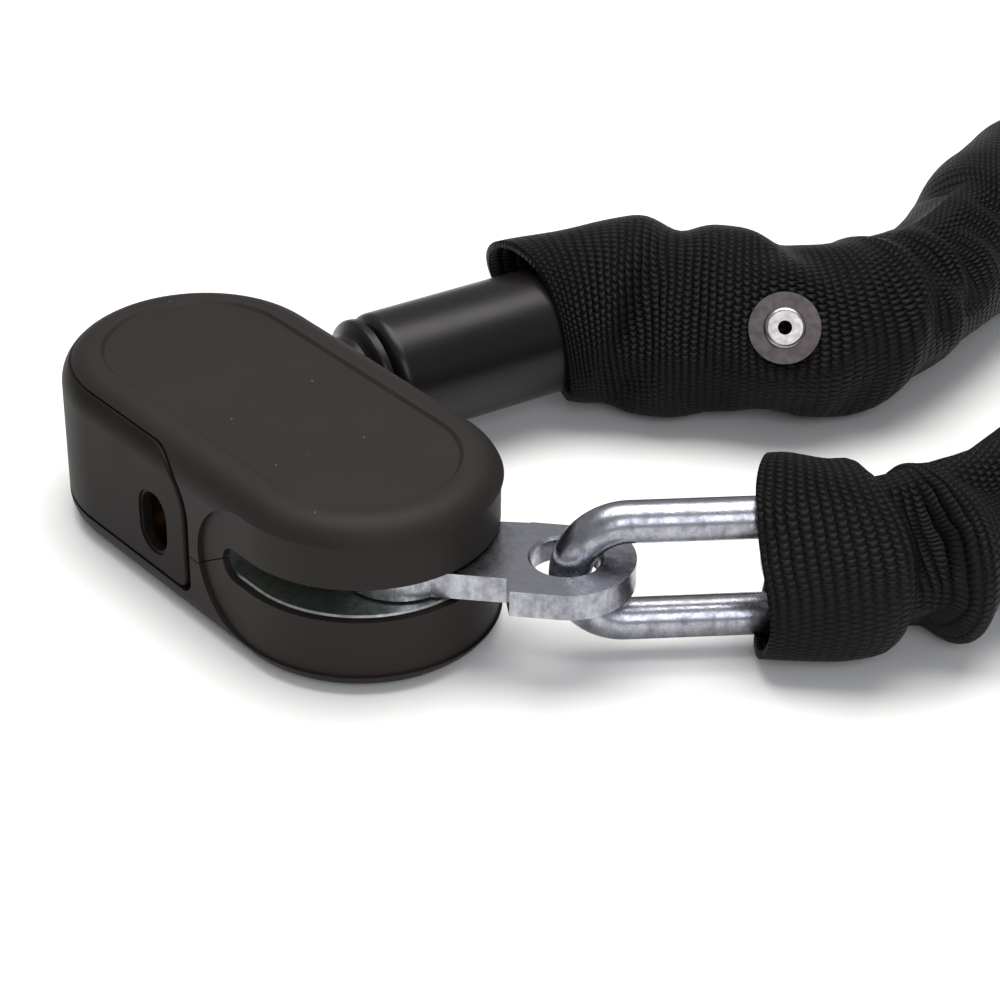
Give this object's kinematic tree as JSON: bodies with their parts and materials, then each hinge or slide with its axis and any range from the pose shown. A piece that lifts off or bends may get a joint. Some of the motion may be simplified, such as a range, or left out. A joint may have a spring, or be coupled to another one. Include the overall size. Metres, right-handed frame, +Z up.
{
  "type": "bicycle chain lock",
  "caption": "Keyed chain lock: flat round-ended lock body with a slotted end, a steel tab on a chain in a black nylon sleeve, and a black ferrule at the fixed end.",
  "frame": {"origin": "on the rest plane, under the middle of the lock body", "axes": "+Z up; +X towards the lock body's slot end, where the tab goes in; +Y to the side where the ferrule and the chain leave the body"},
  "size_m": [0.1893, 0.4164, 0.027],
  "materials": {
    "body_plastic": "soft-touch, very matte, warm black",
    "cover_plastic": "fine grained, slightly glossier than the shells",
    "black_painted_steel": "satin black powder coat",
    "zinc_plated_steel": "bright zinc plating, slightly mottled",
    "core_steel": "dull zinc plating",
    "brass": "machined",
    "nylon_sleeve": "coarse woven black nylon",
    "rivet_steel": "satin",
    "washer_steel": "dark grey coating"
  },
  "bodies": {
    "lock": {"upper_shell": "body_plastic", "lower_shell": "body_plastic", "end_cover": "cover_plastic", "lower_jaw": "zinc_plated_steel", "core_spine": "core_steel", "upper_jaw": "zinc_plated_steel", "shell_screws": "core_steel", "cylinder_housing": "brass", "neck_collar": "black_painted_steel", "anchor_stud": "core_steel", "chain_link_14": "zinc_plated_steel", "chain_link_15": "zinc_plated_steel", "chain_link_16": "zinc_plated_steel", "chain_link_17": "zinc_plated_steel", "chain_link_18": "zinc_plated_steel", "chain_link_19": "zinc_plated_steel", "chain_link_20": "zinc_plated_steel", "chain_link_21": "zinc_plated_steel", "chain_link_22": "zinc_plated_steel", "chain_link_23": "zinc_plated_steel", "chain_link_24": "zinc_plated_steel", "chain_link_25": "zinc_plated_steel", "chain_link_26": "zinc_plated_steel", "chain_link_27": "zinc_plated_steel", "sleeve_fixed_side": "nylon_sleeve", "rivet_washer": "washer_steel", "sleeve_rivet": "rivet_steel"},
    "key_barrel": {"key_plug": "brass", "plug_wafer_1": "brass", "plug_wafer_2": "brass", "plug_wafer_3": "brass", "plug_wafer_4": "brass", "plug_wafer_5": "brass", "plug_clip": "core_steel", "drive_cam": "core_steel", "cam_screw": "core_steel"},
    "bolt": {"bolt_carrier": "core_steel", "locking_bolt": "core_steel"},
    "ferrule": {"ferrule_tube": "black_painted_steel"},
    "free_chain": {"lock_tab": "zinc_plated_steel", "chain_link_01": "zinc_plated_steel", "chain_link_02": "zinc_plated_steel", "chain_link_03": "zinc_plated_steel", "chain_link_04": "zinc_plated_steel", "chain_link_05": "zinc_plated_steel", "chain_link_06": "zinc_plated_steel", "chain_link_07": "zinc_plated_steel", "chain_link_08": "zinc_plated_steel", "chain_link_09": "zinc_plated_steel", "chain_link_10": "zinc_plated_steel", "chain_link_11": "zinc_plated_steel", "chain_link_12": "zinc_plated_steel", "chain_link_13": "zinc_plated_steel", "sleeve_free_side": "nylon_sleeve"}
  },
  "joints": [
    {"name": "key_turn", "type": "hinge", "parent": "lock", "child": "key_barrel", "pos_m": [-0.0028, -0.012, 0.0123], "axis": [0, -1, 0], "range_deg": [0, 90]},
    {"name": "bolt_lift", "type": "slide", "parent": "lock", "child": "bolt", "axis": [0, 0, 1], "range_m": [0, 0.00651]},
    {"name": "ferrule_spin", "type": "hinge", "parent": "lock", "child": "ferrule", "pos_m": [-0.01181, 0.04502, 0.0135], "axis": [0.1357, 0.9907, 0], "continuous": true},
    {"name": "chain_swing", "type": "hinge", "parent": "lock", "child": "free_chain", "pos_m": [0.09271, 0.37639, 0.0135], "axis": [0, 0, 1], "range_deg": [0, 35]}
  ],
  "couplings": [
    {"joint": "key_turn", "follows": "bolt_lift", "rad_per_m": 241.46}
  ]
}
